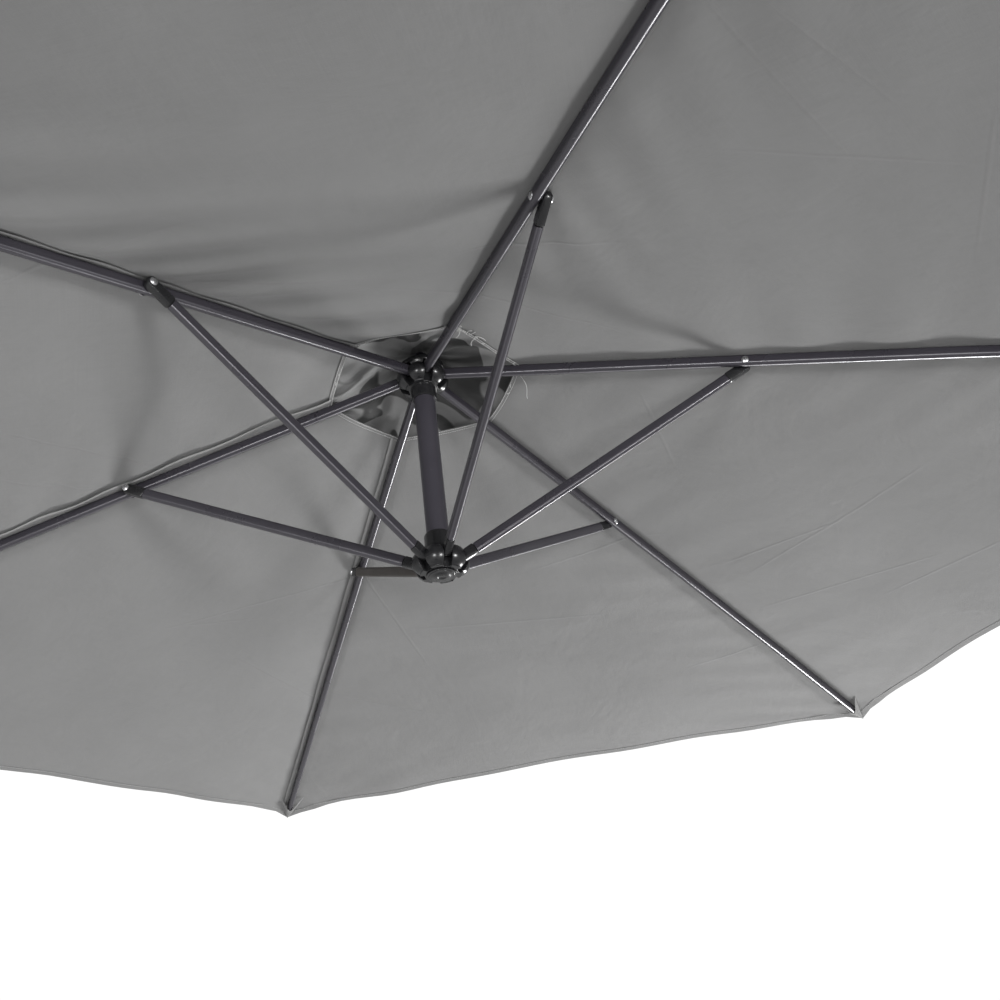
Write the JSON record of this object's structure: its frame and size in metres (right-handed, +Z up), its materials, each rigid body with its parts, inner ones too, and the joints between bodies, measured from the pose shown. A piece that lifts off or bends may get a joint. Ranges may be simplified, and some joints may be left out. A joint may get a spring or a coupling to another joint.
{
  "type": "cantilever parasol",
  "caption": "Cantilever garden parasol with a hexagonal fabric canopy on folding ribs and struts, a curved boom, a crank mast and a weighted cross base.",
  "frame": {"origin": "on the mast axis, at floor level under the base", "axes": "+Z up along the mast, +X from the mast towards the canopy centre, +Y to the left when facing +X"},
  "size_m": [3.4449, 3.106, 2.6507],
  "materials": {
    "anthracite_paint": "satin powder coat",
    "black_gloss": "moulded, glossy",
    "black_matte": "moulded, matt",
    "rivet_steel": "bright",
    "grey_cloth": "woven polyester",
    "base_paint": "matt powder coat"
  },
  "bodies": {
    "base": {"base_cross": "base_paint", "mast_socket": "base_paint", "tank_1": "black_matte", "tank_2": "black_matte", "tank_3": "black_matte", "tank_4": "black_matte", "tank_cap_1": "black_gloss", "tank_cap_2": "black_gloss", "tank_cap_3": "black_gloss", "tank_cap_4": "black_gloss"},
    "clamp": {"clamp_knob": "black_gloss"},
    "mast": {"mast": "anthracite_paint", "mast_coupling": "black_gloss", "boom": "anthracite_paint", "boom_fork": "black_gloss", "hang_pin": "rivet_steel", "crank_housing": "black_gloss", "housing_cover": "black_matte"},
    "crank": {"spool": "black_matte", "crank_handle": "anthracite_paint"},
    "knob": {"crank_knob": "black_matte"},
    "head": {"hub_stem": "anthracite_paint", "upper_hub": "black_gloss", "vent_disc": "black_gloss", "canopy": "grey_cloth", "vent_cap": "grey_cloth"},
    "runner": {"lower_hub": "black_gloss", "centre_post": "anthracite_paint", "hub_cap": "black_gloss"},
    "rib_arm_1": {"rib_1": "anthracite_paint", "rivet_1": "rivet_steel"},
    "strut_arm_1": {"strut_1": "anthracite_paint", "strut_top_1": "black_gloss", "strut_foot_1": "black_gloss"},
    "rib_arm_2": {"rib_2": "anthracite_paint", "rivet_2": "rivet_steel"},
    "strut_arm_2": {"strut_2": "anthracite_paint", "strut_top_2": "black_gloss", "strut_foot_2": "black_gloss"},
    "rib_arm_3": {"rib_3": "anthracite_paint", "rivet_3": "rivet_steel"},
    "strut_arm_3": {"strut_3": "anthracite_paint", "strut_top_3": "black_gloss", "strut_foot_3": "black_gloss"},
    "rib_arm_4": {"rib_4": "anthracite_paint", "rivet_4": "rivet_steel"},
    "strut_arm_4": {"strut_4": "anthracite_paint", "strut_top_4": "black_gloss", "strut_foot_4": "black_gloss"},
    "rib_arm_5": {"rib_5": "anthracite_paint", "rivet_5": "rivet_steel"},
    "strut_arm_5": {"strut_5": "anthracite_paint", "strut_top_5": "black_gloss", "strut_foot_5": "black_gloss"},
    "rib_arm_6": {"rib_6": "anthracite_paint", "rivet_6": "rivet_steel"},
    "strut_arm_6": {"strut_6": "anthracite_paint", "strut_top_6": "black_gloss", "strut_foot_6": "black_gloss"}
  },
  "joints": [
    {"name": "mast_swivel", "type": "hinge", "parent": "base", "child": "mast", "pos_m": [0, 0, 0.13], "axis": [0, 0, 1], "range_deg": [-90, 90]},
    {"name": "clamp_turn", "type": "hinge", "parent": "base", "child": "clamp", "pos_m": [-0.04, 0, 0.15], "axis": [-1, 0, 0], "range_deg": [0, 180]},
    {"name": "head_tilt", "type": "hinge", "parent": "mast", "child": "head", "pos_m": [1.6, 0, 2.458], "axis": [0, 1, 0], "range_deg": [-8, 8]},
    {"name": "canopy_fold", "type": "slide", "parent": "head", "child": "runner", "axis": [0, 0, -1], "range_m": [0, 0.6937], "deforming": ["canopy", "vent_cap"]},
    {"name": "crank_turn", "type": "hinge", "parent": "mast", "child": "crank", "pos_m": [-0.068, 0, 1.05], "axis": [0, 1, 0], "range_deg": [0, 1940]},
    {"name": "knob_spin", "type": "hinge", "parent": "crank", "child": "knob", "pos_m": [-0.068, -0.1, 0.94], "axis": [0, 1, 0], "continuous": true},
    {"name": "rib_hinge_1", "type": "hinge", "parent": "head", "child": "rib_arm_1", "pos_m": [1.63291, 0.019, 2.35977], "axis": [-0.5, 0.866, 0], "range_deg": [0, 72.2]},
    {"name": "strut_hinge_1", "type": "hinge", "parent": "rib_arm_1", "child": "strut_arm_1", "pos_m": [2.04991, 0.27592, 2.2531], "axis": [0.5, -0.866, 0], "range_deg": [0, 130.38]},
    {"name": "rib_hinge_2", "type": "hinge", "parent": "head", "child": "rib_arm_2", "pos_m": [1.6, 0.038, 2.35977], "axis": [-1, 0, 0], "range_deg": [0, 72.2]},
    {"name": "strut_hinge_2", "type": "hinge", "parent": "rib_arm_2", "child": "strut_arm_2", "pos_m": [1.586, 0.5276, 2.2531], "axis": [1, 0, 0], "range_deg": [0, 130.38]},
    {"name": "rib_hinge_3", "type": "hinge", "parent": "head", "child": "rib_arm_3", "pos_m": [1.56709, 0.019, 2.35977], "axis": [-0.5, -0.866, 0], "range_deg": [0, 72.2]},
    {"name": "strut_hinge_3", "type": "hinge", "parent": "rib_arm_3", "child": "strut_arm_3", "pos_m": [1.13609, 0.25168, 2.2531], "axis": [0.5, 0.866, 0], "range_deg": [0, 130.38]},
    {"name": "rib_hinge_4", "type": "hinge", "parent": "head", "child": "rib_arm_4", "pos_m": [1.56709, -0.019, 2.35977], "axis": [0.5, -0.866, 0], "range_deg": [0, 72.2]},
    {"name": "strut_hinge_4", "type": "hinge", "parent": "rib_arm_4", "child": "strut_arm_4", "pos_m": [1.15009, -0.27592, 2.2531], "axis": [-0.5, 0.866, 0], "range_deg": [0, 130.38]},
    {"name": "rib_hinge_5", "type": "hinge", "parent": "head", "child": "rib_arm_5", "pos_m": [1.6, -0.038, 2.35977], "axis": [1, 0, 0], "range_deg": [0, 72.2]},
    {"name": "strut_hinge_5", "type": "hinge", "parent": "rib_arm_5", "child": "strut_arm_5", "pos_m": [1.614, -0.5276, 2.2531], "axis": [-1, 0, 0], "range_deg": [0, 130.38]},
    {"name": "rib_hinge_6", "type": "hinge", "parent": "head", "child": "rib_arm_6", "pos_m": [1.63291, -0.019, 2.35977], "axis": [0.5, 0.866, 0], "range_deg": [0, 72.2]},
    {"name": "strut_hinge_6", "type": "hinge", "parent": "rib_arm_6", "child": "strut_arm_6", "pos_m": [2.06392, -0.25168, 2.2531], "axis": [-0.5, -0.866, 0], "range_deg": [0, 130.38]}
  ],
  "couplings": [
    {"joint": "crank_turn", "follows": "canopy_fold", "rad_per_m": 48.781},
    {"joint": "rib_hinge_1", "follows": "canopy_fold", "rad_per_m": 1.8115},
    {"joint": "strut_hinge_1", "follows": "canopy_fold", "rad_per_m": 3.2729},
    {"joint": "rib_hinge_2", "follows": "canopy_fold", "rad_per_m": 1.8115},
    {"joint": "strut_hinge_2", "follows": "canopy_fold", "rad_per_m": 3.2729},
    {"joint": "rib_hinge_3", "follows": "canopy_fold", "rad_per_m": 1.8115},
    {"joint": "strut_hinge_3", "follows": "canopy_fold", "rad_per_m": 3.2729},
    {"joint": "rib_hinge_4", "follows": "canopy_fold", "rad_per_m": 1.8115},
    {"joint": "strut_hinge_4", "follows": "canopy_fold", "rad_per_m": 3.2729},
    {"joint": "rib_hinge_5", "follows": "canopy_fold", "rad_per_m": 1.8115},
    {"joint": "strut_hinge_5", "follows": "canopy_fold", "rad_per_m": 3.2729},
    {"joint": "rib_hinge_6", "follows": "canopy_fold", "rad_per_m": 1.8115},
    {"joint": "strut_hinge_6", "follows": "canopy_fold", "rad_per_m": 3.2729}
  ]
}
